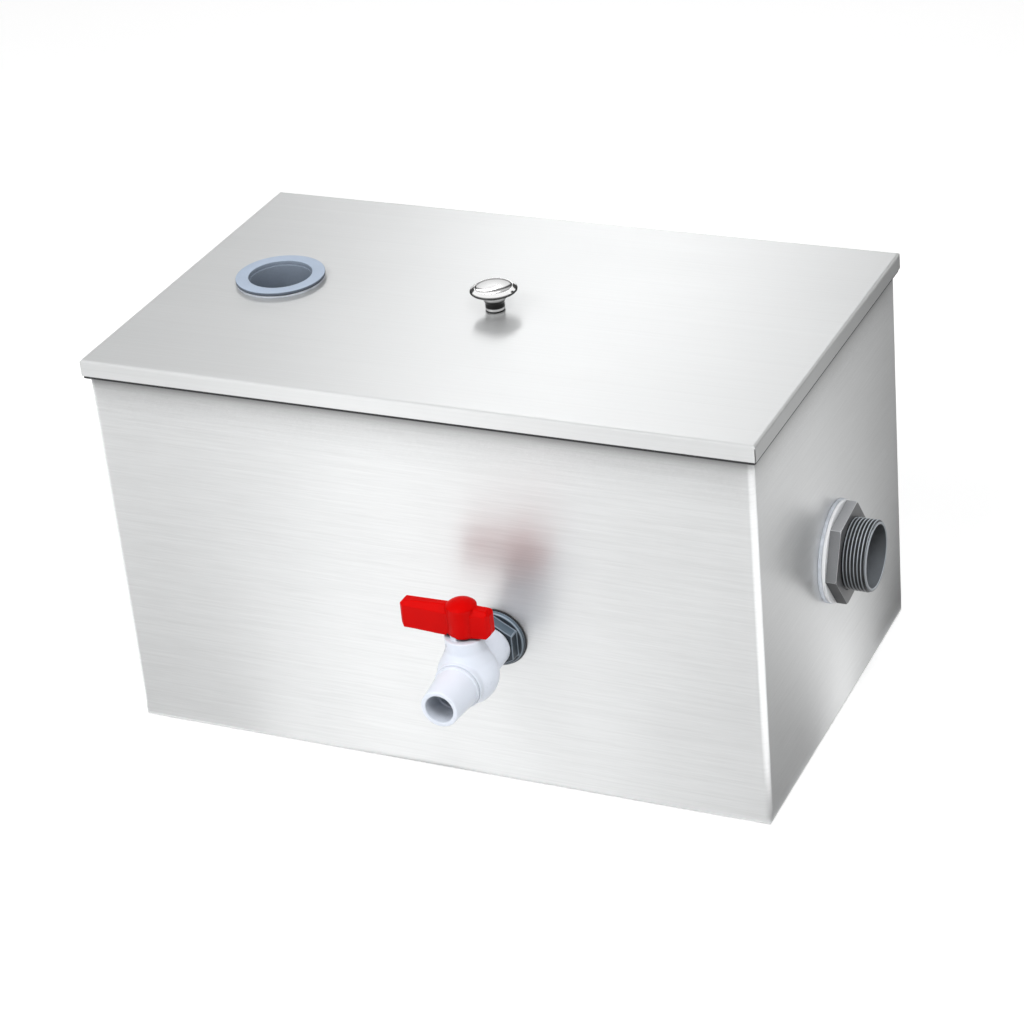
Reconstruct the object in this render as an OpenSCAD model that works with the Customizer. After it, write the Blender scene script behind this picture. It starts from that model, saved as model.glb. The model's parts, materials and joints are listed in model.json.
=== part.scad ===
// Grease trap: a folded stainless steel tank with a lift-off lid, a pipe connector in the lid for
// the waste water, a pipe connector in the end wall for the cleared water, and a ball valve on the
// front wall that draws off the grease. Two lift-out baffles part the tank into three chambers, and
// a strainer basket hangs under the inlet.
// Millimetres. X runs along the tank to the outlet end, -Y is the front with the valve, Z is up.
// The origin is the middle of the tank's underside.

/* [Tank] */
// Outside length of the tank
tank_l = 500; // [440:10:700]
// Outside width of the tank, front to back
tank_w = 300; // [260:10:420]
// Height of the rim above the floor
tank_h = 296; // [280:2:420]
// Thickness of the stainless sheet
sheet = 1; // [0.8:0.1:1.4]
// Outside radius of the folded edges
fold_r = 4.5; // [3:0.5:8]
// Height of the hem folded inwards round the rim
hem_h = 10; // [6:1:16]

/* [Lid] */
// Gap between the lid's skirt and the tank
lid_gap = 2.5; // [1:0.25:4]
// Height of the lid over its skirt
skirt_h = 12; // [8:1:24]
// Outside radius of the lid's folded edges
lid_fold_r = 2; // [1.6:0.2:4]
// Width of the open slit at each corner of the skirt
corner_slit = 0.8; // [0.4:0.1:1.5]
// Thickness of the seal strip, pressed on the rim
seal_t = 3; // [2:0.5:5]
// Width of the seal strip
seal_w = 12; // [6:1:20]
// How far the seal's lip hangs out under the skirt
seal_hang = 2.2; // [0.5:0.1:4]

/* [Knob] */
// Distance of the knob from the middle of the lid, along X
knob_x = 4; // [-60:1:60]
// Distance of the knob from the middle of the lid, along Y
knob_y = -5; // [-60:1:60]
// Diameter of the knob's head
knob_d = 34.6; // [30:0.2:50]
// Diameter of the dished top
knob_dish_d = 25.8; // [16:0.2:27]
// Height of the knob
knob_h = 18.6; // [16:0.2:30]
// Diameter of the knob's foot
knob_foot_d = 15; // [12:0.5:18]
// Diameter of the screw that holds the knob
knob_screw_d = 5; // [4:0.5:6]

/* [Pipe connectors] */
// Outside diameter of the connectors' thread
thread_d = 52; // [46:0.5:62]
// Bore of the connectors' pipe sockets
pipe_d = 45.6; // [38:0.2:46]
// Pitch of the thread
thread_pitch = 2.6; // [2:0.1:4]
// Depth of the thread
thread_depth = 1.3; // [0.8:0.1:1.5]
// Diameter of the connectors' flange
flange_d = 66.5; // [62:0.5:84]
// Thickness of the connectors' flange
flange_t = 2.6; // [2:0.2:5]
// Width of the nuts across the flats
nut_af = 64; // [58:1:76]
// Thickness of the nuts
nut_t = 8; // [5:0.5:14]
// Thickness of the gasket under a flange
gasket_t = 2; // [1:0.25:4]
// Distance of the inlet from the tank's left end
inlet_x = 76; // [60:1:100]
// Place of the inlet along Y
inlet_y = 4; // [-30:1:30]
// Length of the inlet connector
inlet_len = 46; // [38:1:60]
// Height of the outlet's axis
outlet_z = 137; // [110:1:200]
// Place of the outlet along Y
outlet_y = 0; // [-40:1:40]
// How far the outlet connector stands out of the wall
outlet_reach = 31; // [28:1:45]
// Diameter of the two washers under the outlet's nut
washer_d = 75; // [70:1:90]
// Thickness of each of the two washers under the outlet's nut
washer_t = 2.6; // [1:0.1:4]
// Depth of the dip leg's mouth above the tank's floor
dip_clear = 48; // [20:1:60]

/* [Chambers] */
// Distance of the first baffle from the tank's left end
inlet_baffle_x = 166; // [162:1:190]
// Distance of the second baffle from the tank's right end
outlet_baffle_x = 122; // [110:1:140]
// Height of the baffles' top edge above the tank's floor
baffle_h = 267; // [220:1:268]
// Width of the window under each baffle
window_w = 180; // [80:5:200]
// Height of the window under each baffle
window_h = 46; // [20:2:80]
// Depth of the channels that guide the baffles
guide_d = 10; // [6:1:14]
// Width of the lip folded over at the top of each baffle
lip_w = 12; // [8:1:20]

/* [Strainer basket] */
// Length of the basket along X
basket_l = 136; // [100:2:136]
// Height of the basket's rim above the tank's floor
basket_rim_h = 213; // [180:1:215]
// Depth of the basket
basket_depth = 118; // [60:2:140]
// Width of the basket's folded rim
basket_rim = 9; // [6:0.5:9]
// Width of the ledges that carry the basket
ledge_w = 14; // [12:1:20]
// Diameter of the basket's holes
basket_hole_d = 8; // [4:0.5:10]
// Spacing of the basket's holes
basket_pitch = 20; // [16:1:30]

/* [Drain valve] */
// Place of the valve along X
valve_x = 54; // [0:1:90]
// Height of the valve's axis
valve_z = 121.5; // [80:0.5:180]
// Diameter of the drain connector's flange
drain_flange_d = 43.5; // [42:0.5:54]
// Width of the drain connector's hexagon across the flats
drain_hex_af = 33; // [32:1:36]
// Outside diameter of the drain connector's thread
drain_thread_d = 26.4; // [24:0.2:27]
// Diameter of the valve's waterway
port_d = 18; // [14:0.5:18.4]
// Diameter of the ball
ball_d = 28; // [27:0.5:29]
// Diameter of the round valve housing
housing_d = 43; // [41:0.5:48]
// Diameter of the housing's socket
valve_socket_d = 30; // [29.6:0.2:34]
// Diameter of the spout at its mouth
spout_d = 27; // [25:0.5:29]
// Bore of the spout's mouth
spout_bore_d = 20.4; // [19:0.2:21]
// Length of the spout beyond the housing
spout_l = 30; // [24:1:50]

/* [Handle] */
// Reach of the handle's long wing from its axis
wing_long = 45; // [30:1:70]
// Reach of the handle's short wing from its axis
wing_short = 22; // [16:1:40]
// Height of the wings at their tips
wing_h = 20; // [12:1:24]
// Height of the wings at the hub
wing_root_h = 23; // [14:1:26]
// Thickness of the wings
wing_t = 14; // [9:0.5:16]
// Diameter of the handle's hub
hub_d = 21.5; // [20:0.5:24]
// Height of the handle's hub over its domed top
hub_h = 27.5; // [24:0.5:34]

/* [Hidden] */
$fn = 64;

// Clearances: a fit that turns, a fit that is pushed together, and a hole round a thread
running = 0.1;
push = 0.2;
loose = 0.5;
// Overrun of a cutting shape past the face that it cuts
cut = 1;

// Sheet work
hem_t = 2.2 * sheet;
hem_corner_r = max(fold_r - hem_t, 0.5);
floor_z = sheet;
baffle_top = floor_z + baffle_h;
rim_clear = 6;
rim_z = max(tank_h, baffle_top + rim_clear);
lid_under = rim_z + seal_t;
lid_top = lid_under + sheet;
lid_l = tank_l + 2 * (lid_gap + sheet);
lid_w = tank_w + 2 * (lid_gap + sheet);
lid_inner_r = lid_fold_r - sheet;
seal_play = 0.4;
seal_corner_r = 1;
front_wall = -tank_w / 2;
end_wall = tank_l / 2;
steel = [0.80, 0.81, 0.81];

// Knob, counted upwards from the lid
knob_waist = 1.2;
knob_foot_h = 1.4;
knob_foot_step = 1;
knob_waist_top = 3;
knob_rim_drop = 3;
knob_lip = 0.8;
knob_neck_step = 2.2;
knob_dish_depth = 2.4;
knob_dish_lip = 0.6;
knob_cap = 7;
knob_washer_d = 12;
screw_head_d = 9.5;
screw_head_h = 3.3;
screw_head_taper = 2;
screw_tip = 2;
screw_slot_l = 5.2;
screw_slot_w = 1;

// Pipe connectors: the stop rib parts the flange's socket from the thread's socket
rib_t = 2;
rib_d = pipe_d - 3;
thread_end = 1;
thread_flank = 0.30;
thread_land = 0.25;
flange_chamfer = 0.8;
thread_socket = 21;
mouth_d = pipe_d + 1.6;
mouth_depth = flange_t + 0.6;
outlet_len = outlet_reach + sheet + gasket_t + flange_t;
pipe_hole_d = thread_d + 2 * loose;
outlet_nut_turn = 7;
nut_cone = 1;
grey_pvc = [0.36, 0.38, 0.39];

// Outlet elbow: its spigot is pushed into the flange's socket up to the stop rib
elbow_d = pipe_d + 3;
elbow_bore = pipe_d - 5;
elbow_r = 30;
elbow_neck = 14;
spigot_root = 2;
elbow_spigot = outlet_len - thread_socket - rib_t;
elbow_start = end_wall - sheet - gasket_t - flange_t - elbow_neck;
elbow_down_x = elbow_start - elbow_r;
bell_l = 12;
bell_d = elbow_d + 4;

// Baffles and their guides
baffle_play = 0.5;
first_baffle = inlet_baffle_x - end_wall;
second_baffle = end_wall - outlet_baffle_x;
guide_slot = sheet + 2 * baffle_play;
baffle_w = tank_w - 4 * sheet - 2 * baffle_play;
guide_bottom = floor_z + fold_r;
guide_drop = 6;
guide_top = baffle_top - sheet - guide_drop;

// Strainer basket, in the middle of the first chamber
chamber_end = first_baffle - guide_slot / 2 - sheet;
basket_x = (-end_wall + sheet + chamber_end) / 2;
basket_play = 2;
basket_w = tank_w - 2 * (sheet + ledge_w + basket_play);
basket_top = floor_z + basket_rim_h;
basket_floor = basket_top - basket_depth;
basket_corner_r = 6;
hole_margin = basket_hole_d / 2 + 8;
ledge_l = basket_l;
strap_w = 16;
strap_t = 1.5;
strap_clear = 8.6;
strap_rise = lid_top + gasket_t + flange_t - inlet_len - strap_clear - basket_top;
strap_hold = 24;
strap_bend_r = 14;

// Drain connector, counted outwards from the front wall
drain_gasket_t = 1.5;
drain_flange_t = 3;
drain_hex_t = 8;
drain_spigot = 14.5;
drain_nut_t = 8;
drain_tail = 5;
drain_washer_t = 2;
drain_face_d = drain_flange_d - 2;
drain_gasket_rim = 0.3;
drain_washer_rim = -1.5;
drain_flange_at = drain_gasket_t;
drain_hex_at = drain_flange_at + drain_flange_t;
drain_spigot_at = drain_hex_at + drain_hex_t;
drain_hole_d = drain_thread_d + 2 * loose;
slate_pvc = [0.27, 0.31, 0.36];

// Ball valve, counted outwards from the front wall
seat_gap = 0.15;
cavity_d = ball_d + 1.2;
seat_reach = ball_d / 2 - 1.5;
socket_wall = 10;
socket_end = drain_spigot_at + drain_spigot + loose;
cavity_at = socket_end + socket_wall;
ball_at = cavity_at + seat_reach;
cavity_end = ball_at + seat_reach;
seat_l = 4;
plug_l = 5;
collar_wall = 2.8;
collar_d = cavity_d + 2 * collar_wall;
spout_at = cavity_end + plug_l;
spout_ring_t = 3;
spout_ring_step = 1;
spout_socket = 18;
spout_taper = 2;
spout_chamfer = 0.8;
white_pvc = [0.93, 0.94, 0.96];

// Valve stem and handle, counted upwards from the valve's axis
boss_d = 27.5;
boss_rise = 9.5;
boss_h = housing_d / 2 + boss_rise;
boss_flare = 4.5;
stem_d = 11.8;
tongue_t = 4;
tongue_l = 10;
tongue_h = 3.4;
ball_clear = 0.3;
stem_at = ball_d / 2 + ball_clear;
groove_at = boss_h - 8;
o_ring_d = 1.44;
o_ring_play = 0.02;
groove_play = 0.2;
square_w = 8;
square_h = 12;
hub_clear = 0.8;
hub_at = boss_h + hub_clear;
hub_socket_h = square_h + ball_clear;
dome_h = 4.5;
wing_clear = 0.4;
wing_at = hub_at + wing_clear;
wing_chamfer = 2.6;
wing_slope_w = 5;
wing_slope_h = 5.5;
wing_taper = 1;
lug_angle = 40;
lug_play = 2;
turn = 90;
lug_h = 2.8;
lug_in = square_w * 0.75 + 1;
lug_out = hub_d / 2 - 0.6;
lug_start = 222;
red_abs = [0.86, 0.03, 0.02];

// Moves a shape that stands on Z so that it runs along +X out of the end wall
module out_of_end(at) {
    translate([end_wall + at, outlet_y, outlet_z]) rotate([0, 90, 0]) children();
}

// Moves a shape that stands on Z so that it runs along -Y out of the front wall
module out_of_front(at) {
    translate([valve_x, front_wall - at, valve_z]) rotate([90, 0, 0]) children();
}

module at_inlet(z) {
    translate([inlet_x - end_wall, inlet_y, z]) children();
}

module at_knob(z) {
    translate([knob_x, knob_y, z]) children();
}

module ring(outer_d, inner_d, h) {
    difference() {
        cylinder(d = outer_d, h = h);
        translate([0, 0, -cut]) cylinder(d = inner_d, h = h + 2 * cut);
    }
}

module hexagon(across_flats, h) {
    rotate([0, 0, 30]) cylinder(d = across_flats / cos(30), h = h, $fn = 6);
}

// Hexagonal nut with its outer corners turned off to a cone
module nut(across_flats, hole_d, h) {
    corner_r = across_flats / cos(30) / 2;
    difference() {
        intersection() {
            hexagon(across_flats, h);
            cylinder(r1 = corner_r + h, r2 = corner_r - nut_cone, h = h);
        }
        translate([0, 0, -cut]) cylinder(d = hole_d, h = h + 2 * cut);
    }
}

module rounded_rectangle(l, w, r) {
    square([l - 2 * r, w], center = true);
    square([l, w - 2 * r], center = true);
    for (x = [-1, 1], y = [-1, 1])
        translate([x * (l / 2 - r), y * (w / 2 - r)]) circle(r = r);
}

// Upright profile of a folded tub: square above, round at its two lower corners
module tub_profile(w, h, r) {
    translate([-w / 2, r]) square([w, h - r]);
    translate([-w / 2 + r, 0]) square([w - 2 * r, r + cut]);
    for (x = [-1, 1]) translate([x * (w / 2 - r), r]) circle(r = r);
}

// Solid with its four upright edges and its four lower edges folded to a radius
module tub(l, w, h, corner_r, edge_r) {
    intersection() {
        translate([0, 0, -cut]) linear_extrude(h + cut) rounded_rectangle(l, w, corner_r);
        translate([-l / 2 - cut, 0, 0]) rotate([90, 0, 90])
            linear_extrude(l + 2 * cut) tub_profile(w, h + cut, edge_r);
        translate([0, w / 2 + cut, 0]) rotate([90, 0, 0])
            linear_extrude(w + 2 * cut) tub_profile(l, h + cut, edge_r);
    }
}

module tank() {
    inner_r = fold_r - sheet;
    color(steel) difference() {
        tub(tank_l, tank_w, rim_z, fold_r, fold_r);
        translate([0, 0, floor_z])
            tub(tank_l - 2 * sheet, tank_w - 2 * sheet, rim_z - hem_h - floor_z, inner_r, inner_r);
        translate([0, 0, rim_z - hem_h - cut]) linear_extrude(hem_h + 2 * cut)
            rounded_rectangle(tank_l - 2 * hem_t, tank_w - 2 * hem_t, hem_corner_r);
        out_of_end(-5 * sheet) cylinder(d = pipe_hole_d, h = 10 * sheet);
        out_of_front(-5 * sheet) cylinder(d = drain_hole_d, h = 10 * sheet);
    }
}

// Channel that stands on the wall at y_side and holds one edge of a baffle
module guide_channel(x, y_side) {
    web = tank_w / 2 - sheet;
    color(steel) translate([x, y_side * web, guide_bottom]) linear_extrude(guide_top - guide_bottom)
        mirror([0, y_side > 0 ? 1 : 0]) difference() {
            translate([-guide_slot / 2 - sheet, 0]) square([guide_slot + 2 * sheet, guide_d]);
            translate([-guide_slot / 2, sheet]) square([guide_slot, guide_d]);
        }
}

// Sheet with a window for the flow at its foot and a lip folded over at its top
module baffle(x) {
    half = baffle_w / 2;
    foot = fold_r;
    color(steel) translate([x - sheet / 2, 0, floor_z]) {
        rotate([90, 0, 90]) linear_extrude(sheet) difference() {
            polygon([
                [-half + foot, 0], [half - foot, 0], [half, foot], [half, baffle_h],
                [-half, baffle_h], [-half, foot],
            ]);
            translate([0, window_h / 2 - cut]) square([window_w, window_h + 2 * cut], center = true);
        }
        translate([0, -half, baffle_h - sheet]) cube([lip_w, baffle_w, sheet]);
    }
}

// Angle that carries the basket's rim along the wall at y_side
module basket_ledge(y_side) {
    web = tank_w / 2 - sheet;
    color(steel) translate([basket_x - ledge_l / 2, 0, basket_top - sheet])
        rotate([90, 0, 90]) linear_extrude(ledge_l) mirror([y_side < 0 ? 1 : 0, 0]) {
            translate([web - ledge_w, -sheet]) square([ledge_w, sheet]);
            translate([web - sheet, -ledge_w]) square([sheet, ledge_w]);
        }
}

// Centres of a row of holes that keeps a margin at both ends
function hole_row(length, margin) =
    let (n = floor((length - 2 * margin) / basket_pitch))
    [for (i = [0 : n]) (i - n / 2) * basket_pitch];

module strainer_basket() {
    along_x = hole_row(basket_l, hole_margin);
    along_y = hole_row(basket_w, hole_margin);
    up = hole_row(basket_depth - basket_rim, hole_margin);
    wall_middle = (basket_depth - basket_rim) / 2;
    color(steel) translate([basket_x, 0, basket_floor]) difference() {
        union() {
            linear_extrude(basket_depth) rounded_rectangle(basket_l, basket_w, basket_corner_r);
            translate([0, 0, basket_depth - sheet]) linear_extrude(sheet)
                rounded_rectangle(basket_l + 2 * basket_rim, basket_w + 2 * basket_rim, basket_corner_r);
        }
        translate([0, 0, sheet]) linear_extrude(basket_depth)
            rounded_rectangle(basket_l - 2 * sheet, basket_w - 2 * sheet, basket_corner_r - sheet);
        for (x = along_x, y = along_y)
            translate([x, y, -cut]) cylinder(d = basket_hole_d, h = sheet + 2 * cut);
        for (x = along_x, z = up)
            translate([x, 0, wall_middle + z]) rotate([90, 0, 0])
                cylinder(d = basket_hole_d, h = basket_w + 2 * cut, center = true);
        for (y = along_y, z = up)
            translate([0, y, wall_middle + z]) rotate([0, 90, 0])
                cylinder(d = basket_hole_d, h = basket_l + 2 * cut, center = true);
    }
}

// Strap welded inside the basket's two long walls, arched over its mouth
module basket_handle() {
    span = basket_l - 2 * sheet;
    rise = strap_hold + strap_rise;
    color(steel) translate([basket_x, strap_w / 2, basket_top - strap_hold])
        rotate([90, 0, 0]) linear_extrude(strap_w) difference() {
            translate([0, rise - span / 2]) rounded_rectangle(span, span, strap_bend_r);
            translate([0, rise - span / 2])
                rounded_rectangle(span - 2 * strap_t, span - 2 * strap_t, strap_bend_r - strap_t);
            translate([-span / 2 - cut, rise - span - cut]) square([span + 2 * cut, span - rise + cut]);
        }
}

// Threaded tube with a flange at its foot. A rib inside parts the two pipe sockets.
module pipe_connector(length) {
    crest_r = thread_d / 2;
    root_r = crest_r - thread_depth;
    bore_r = pipe_d / 2;
    rib_at = length - thread_socket - rib_t;
    turns = floor((length - flange_t - 2 * thread_end) / thread_pitch);
    first = length - thread_end - turns * thread_pitch;
    thread = [
        for (i = [0 : turns - 1]) let (z = first + i * thread_pitch)
            each [
                [root_r, z], [crest_r, z + thread_flank * thread_pitch],
                [crest_r, z + (thread_flank + thread_land) * thread_pitch],
                [root_r, z + (2 * thread_flank + thread_land) * thread_pitch],
            ]
    ];
    outside = concat(
        [[flange_d / 2 - flange_chamfer, 0], [flange_d / 2, flange_chamfer]],
        [[flange_d / 2, flange_t], [root_r, flange_t]], thread, [[root_r, length]]
    );
    inside = [
        [bore_r, length], [bore_r, rib_at + rib_t], [rib_d / 2, rib_at + rib_t], [rib_d / 2, rib_at],
        [bore_r, rib_at], [bore_r, mouth_depth], [mouth_d / 2, mouth_depth], [mouth_d / 2, 0],
    ];
    color(grey_pvc) rotate_extrude() polygon(concat(outside, inside));
}

module inlet_connector() {
    at_inlet(lid_top + gasket_t + flange_t) rotate([180, 0, 0]) pipe_connector(inlet_len);
}

module inlet_gasket() {
    color([0.18, 0.19, 0.21]) at_inlet(lid_top) ring(flange_d - 1, thread_d + push, gasket_t);
}

module inlet_nut() {
    color(grey_pvc) at_inlet(lid_under) rotate([180, 0, 0]) nut(nut_af, thread_d + 2 * push, nut_t);
}

module outlet_connector() {
    out_of_end(outlet_reach - outlet_len) pipe_connector(outlet_len);
}

module outlet_inner_gasket() {
    color([0.10, 0.10, 0.11]) out_of_end(-sheet - gasket_t) ring(flange_d, thread_d + push, gasket_t);
}

module outlet_washer() {
    color([0.72, 0.74, 0.77]) out_of_end(0) ring(washer_d, thread_d + push, washer_t);
}

module outlet_gasket() {
    color([0.94, 0.95, 0.96]) out_of_end(washer_t) ring(washer_d - 1, thread_d + push, washer_t);
}

module outlet_nut() {
    color(grey_pvc) out_of_end(2 * washer_t)
        rotate([0, 0, outlet_nut_turn]) nut(nut_af, thread_d + 2 * push, nut_t);
}

// Centreline of the elbow, filled to a diameter: along X, round the bend, and down
module elbow_run(d, down, overrun) {
    spigot_tip = elbow_start + elbow_neck + elbow_spigot;
    translate([elbow_start, outlet_y, outlet_z]) rotate([0, 90, 0])
        cylinder(d = d, h = spigot_tip - elbow_start + overrun);
    translate([elbow_start, outlet_y, outlet_z - elbow_r]) rotate([90, 0, 0])
        rotate([0, 0, 90]) rotate_extrude(angle = 90) translate([elbow_r, 0]) circle(d = d);
    translate([elbow_down_x, outlet_y, outlet_z - elbow_r - down - overrun])
        cylinder(d = d, h = down + overrun);
}

// Elbow on the inside of the outlet, which draws the water from under the grease
module outlet_elbow() {
    down = outlet_z - elbow_r - floor_z - dip_clear;
    spigot_d = pipe_d - 2 * push;
    flange_face = end_wall - sheet - gasket_t - flange_t;
    color([0.86, 0.87, 0.88]) difference() {
        union() {
            intersection() {
                elbow_run(elbow_d, down, 0);
                translate([-tank_l, outlet_y - elbow_d, 0])
                    cube([tank_l + flange_face - push, 2 * elbow_d, rim_z]);
            }
            translate([flange_face - spigot_root, outlet_y, outlet_z]) rotate([0, 90, 0])
                cylinder(d = spigot_d, h = elbow_spigot + spigot_root - push);
            translate([elbow_down_x, outlet_y, outlet_z - elbow_r - down])
                cylinder(d = bell_d, h = bell_l);
        }
        elbow_run(elbow_bore, down, cut);
    }
}

// Connector with a round flange and a hexagon outside, a spigot for the valve, and a tail inside
module drain_connector() {
    tail = sheet + drain_washer_t + drain_nut_t + drain_tail;
    length = tail + drain_spigot_at + drain_spigot;
    color(slate_pvc) out_of_front(0) difference() {
        union() {
            translate([0, 0, -tail]) cylinder(d = drain_thread_d, h = length);
            translate([0, 0, drain_flange_at])
                cylinder(d1 = drain_flange_d, d2 = drain_face_d, h = drain_flange_t);
            translate([0, 0, drain_hex_at]) hexagon(drain_hex_af, drain_hex_t);
        }
        translate([0, 0, -tail - cut]) cylinder(d = port_d, h = length + 2 * cut);
    }
}

module drain_gasket() {
    color([0.06, 0.06, 0.07]) out_of_front(0)
        ring(drain_flange_d + 2 * drain_gasket_rim, drain_thread_d + 2 * push, drain_gasket_t);
}

module drain_inner_washer() {
    color([0.06, 0.06, 0.07]) out_of_front(-sheet - drain_washer_t)
        ring(drain_flange_d + 2 * drain_washer_rim, drain_thread_d + 2 * push, drain_washer_t);
}

module drain_nut() {
    color(slate_pvc) out_of_front(-sheet - drain_washer_t) rotate([180, 0, 0])
        nut(drain_hex_af, drain_thread_d + 2 * push, drain_nut_t);
}

// Sector of a ring, from an angle, counted about the stem's axis
module sector(inner_r, outer_r, from, angle, h) {
    rotate([0, 0, from]) rotate_extrude(angle = angle)
        translate([inner_r, 0]) square([outer_r - inner_r, h]);
}

// Moves a shape to the stem's axis, counted upwards from the valve's axis
module at_stem(z) {
    translate([valve_x, front_wall - ball_at, valve_z + z]) children();
}

// Round housing with the threaded socket behind, the open collar in front and the stem's boss on top
module valve_body() {
    socket_at = drain_spigot_at;
    color(white_pvc) {
        difference() {
            union() {
                out_of_front(ball_at) sphere(d = housing_d);
                out_of_front(socket_at) cylinder(d = valve_socket_d, h = ball_at - socket_at);
                out_of_front(ball_at) cylinder(d = collar_d, h = spout_at - ball_at);
                at_stem(0) cylinder(d = boss_d, h = boss_h);
                at_stem(housing_d / 4)
                    cylinder(d1 = boss_d + 2 * boss_flare, d2 = boss_d, h = housing_d / 4);
                at_stem(boss_h - cut) sector(lug_in, lug_out, lug_start, lug_angle, lug_h + cut);
            }
            out_of_front(socket_at - cut)
                cylinder(d = drain_thread_d + 2 * push, h = socket_end - socket_at + cut);
            out_of_front(socket_at) cylinder(d = port_d, h = ball_at - socket_at);
            out_of_front(cavity_at) cylinder(d = cavity_d, h = spout_at - cavity_at + housing_d / 2);
            at_stem(0) cylinder(d = stem_d + 2 * running, h = boss_h + cut);
        }
    }
}

// Plug that closes the housing, and the tapered spout with a socket in its mouth
module valve_spout() {
    ring_d = collar_d - 2 * spout_ring_step;
    plug_d = cavity_d - 2 * push;
    length = plug_l + spout_l;
    ring_end = plug_l + spout_ring_t;
    color(white_pvc) out_of_front(cavity_end) rotate_extrude() polygon([
        [port_d / 2, 0], [plug_d / 2, 0], [plug_d / 2, plug_l], [ring_d / 2, plug_l],
        [ring_d / 2, ring_end - spout_chamfer], [ring_d / 2 - spout_chamfer, ring_end],
        [spout_d / 2 + spout_taper, ring_end],
        [spout_d / 2, length - spout_chamfer], [spout_d / 2 - spout_chamfer, length],
        [spout_bore_d / 2, length], [spout_bore_d / 2, length - spout_socket],
        [port_d / 2, length - spout_socket],
    ]);
}

// Seat between the ball and the end of the cavity that lies at a distance from the wall
module valve_seat(from) {
    color([0.97, 0.97, 0.95]) difference() {
        out_of_front(from) ring(cavity_d - 2 * push, port_d, seat_l);
        out_of_front(ball_at) sphere(d = ball_d + 2 * seat_gap);
    }
}

// Ball with its port across the flow, as it stands when the valve is shut, and a slot for the stem
module valve_ball() {
    slot_floor = stem_at - tongue_h - push;
    color([0.90, 0.91, 0.92]) difference() {
        at_stem(0) rotate([0, 90, 0]) sphere(d = ball_d);
        at_stem(0) rotate([0, 90, 0]) cylinder(d = port_d, h = ball_d + 2 * cut, center = true);
        at_stem(slot_floor) translate([-tongue_t / 2 - push, -ball_d / 2, 0])
            cube([tongue_t + 2 * push, ball_d, ball_d / 2]);
    }
}

module valve_stem() {
    groove_d = stem_d - 2 * o_ring_d - running;
    groove_h = o_ring_d + 2 * groove_play;
    color([0.16, 0.16, 0.17]) difference() {
        union() {
            at_stem(stem_at - tongue_h) translate([-tongue_t / 2, -tongue_l / 2, 0])
                cube([tongue_t, tongue_l, tongue_h + cut]);
            at_stem(stem_at) cylinder(d = stem_d, h = boss_h - stem_at);
            at_stem(boss_h) translate([-square_w / 2, -square_w / 2, 0])
                cube([square_w, square_w, square_h]);
        }
        at_stem(groove_at) ring(stem_d + 2 * cut, groove_d, groove_h);
    }
}

module stem_o_ring() {
    color([0.05, 0.05, 0.05]) at_stem(groove_at + o_ring_d / 2 + groove_play) rotate_extrude()
        translate([(stem_d - o_ring_d) / 2, 0]) circle(d = o_ring_d - 2 * o_ring_play, $fn = 32);
}

// Outline of both wings seen from the front: lower at the tips than at the hub, corners taken off
module wing_side() {
    c = wing_chamfer;
    low = (wing_root_h - wing_h) / 2;
    high = low + wing_h;
    polygon([
        [-wing_long, low + c], [-wing_long + c, low], [0, 0], [wing_short - c, low], [wing_short, low + c],
        [wing_short, high - c], [wing_short - c, high], [0, wing_root_h],
        [-wing_long + c, high], [-wing_long, high - c],
    ]);
}

// Outline of both wings seen from above, a little thicker at the hub than at the tips
module wing_plan() {
    root = wing_t / 2;
    tip = root - wing_taper;
    c = wing_chamfer;
    polygon([
        [-wing_long, c - tip], [-wing_long + c, -tip], [0, -root],
        [wing_short - c, -tip], [wing_short, c - tip],
        [wing_short, tip - c], [wing_short - c, tip],
        [0, root], [-wing_long + c, tip], [-wing_long, tip - c],
    ]);
}

// Outline of a wing cut across, with both upper edges sloped off
module wing_section() {
    half = wing_t / 2;
    ridge = half - wing_slope_w;
    polygon([
        [-half, 0], [half, 0], [half, wing_root_h - wing_slope_h], [ridge, wing_root_h],
        [-ridge, wing_root_h], [-half, wing_root_h - wing_slope_h],
    ]);
}

// Both wings, from the base of their roots upwards
module wings() {
    intersection() {
        translate([0, wing_t, 0]) rotate([90, 0, 0]) linear_extrude(2 * wing_t) wing_side();
        translate([0, 0, -cut]) linear_extrude(wing_root_h + 2 * cut) wing_plan();
        translate([-wing_long - cut, 0, 0]) rotate([90, 0, 90])
            linear_extrude(wing_long + wing_short + 2 * cut) wing_section();
    }
}

// Handle with a domed hub, a long and a short wing, and a pocket that turns round the stop lug
module valve_handle() {
    dome_r = (pow(hub_d / 2, 2) + pow(dome_h, 2)) / (2 * dome_h);
    pocket_angle = turn + lug_angle + 2 * lug_play;
    pocket_start = lug_start - turn - lug_play;
    pocket_h = boss_h + lug_h + push - hub_at;
    color(red_abs) difference() {
        union() {
            intersection() {
                at_stem(hub_at) cylinder(d = hub_d, h = hub_h);
                at_stem(hub_at + hub_h - dome_r) sphere(r = dome_r, $fn = 128);
            }
            at_stem(wing_at) wings();
        }
        at_stem(hub_at - cut) translate([-square_w / 2 - push / 2, -square_w / 2 - push / 2, 0])
            cube([square_w + push, square_w + push, hub_socket_h - hub_at + boss_h + cut]);
        at_stem(hub_at - cut)
            sector(lug_in - push, hub_d / 2 + cut, pocket_start, pocket_angle, pocket_h + cut);
    }
}

// Pan turned over, filled: its floor at a height, folded edges on top
module pan(l, w, top, depth, corner_r, edge_r) {
    translate([0, 0, top]) mirror([0, 0, 1]) tub(l, w, depth, corner_r, edge_r);
}

// Space inside the lid, to a depth below its top sheet
module lid_hollow(depth) {
    pan(lid_l - 2 * sheet, lid_w - 2 * sheet, lid_under, depth, lid_inner_r, lid_inner_r);
}

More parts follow.
